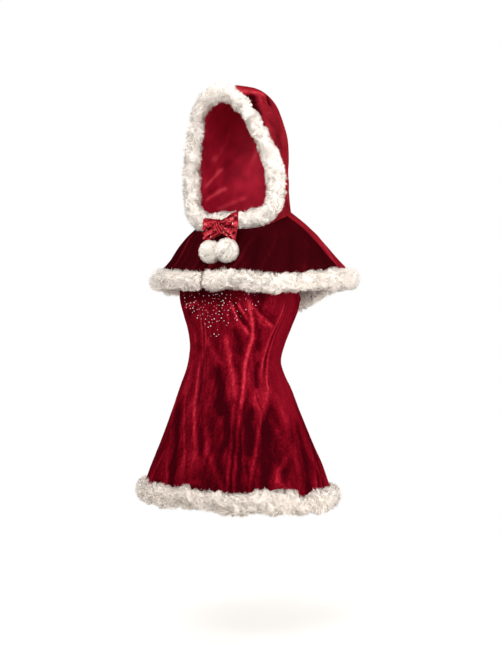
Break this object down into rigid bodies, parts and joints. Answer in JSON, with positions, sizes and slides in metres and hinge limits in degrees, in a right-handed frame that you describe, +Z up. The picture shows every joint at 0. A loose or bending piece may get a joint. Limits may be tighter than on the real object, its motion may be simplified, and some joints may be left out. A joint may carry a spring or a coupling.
{
  "type": "christmas dress costume",
  "caption": "Red velvet mini dress with a fur hem, worn under a hooded capelet with fur bands, a bow and pompoms.",
  "frame": {"origin": "middle of the capelet's neckline, by which the set is held on the shoulders", "axes": "+Z up, -Y towards the front, +X towards the wearer's left"},
  "size_m": [0.5432, 0.5382, 1.0454],
  "materials": {
    "velvet": "crushed pile",
    "satin": "smooth, lustrous",
    "faux_fur": "long soft pile"
  },
  "bodies": {
    "root": {"dress_front": "velvet", "dress_side_front_left": "velvet", "dress_side_front_right": "velvet", "dress_side_back_left": "velvet", "dress_side_back_right": "velvet", "dress_back_left": "velvet", "dress_back_right": "velvet", "dress_strap_left": "velvet", "dress_strap_right": "velvet", "dress_fur_hem": "faux_fur", "cape_front_left": "velvet", "cape_front_right": "velvet", "cape_back": "velvet", "cape_fur_hem": "faux_fur", "hood_left": "velvet", "hood_right": "velvet", "hood_lining_left": "satin", "hood_lining_right": "satin", "hood_fur_band": "faux_fur", "bow_loop_left": "velvet", "bow_loop_right": "velvet", "bow_knot": "velvet", "pompom_left": "faux_fur", "pompom_right": "faux_fur"}
  },
  "joints": []
}
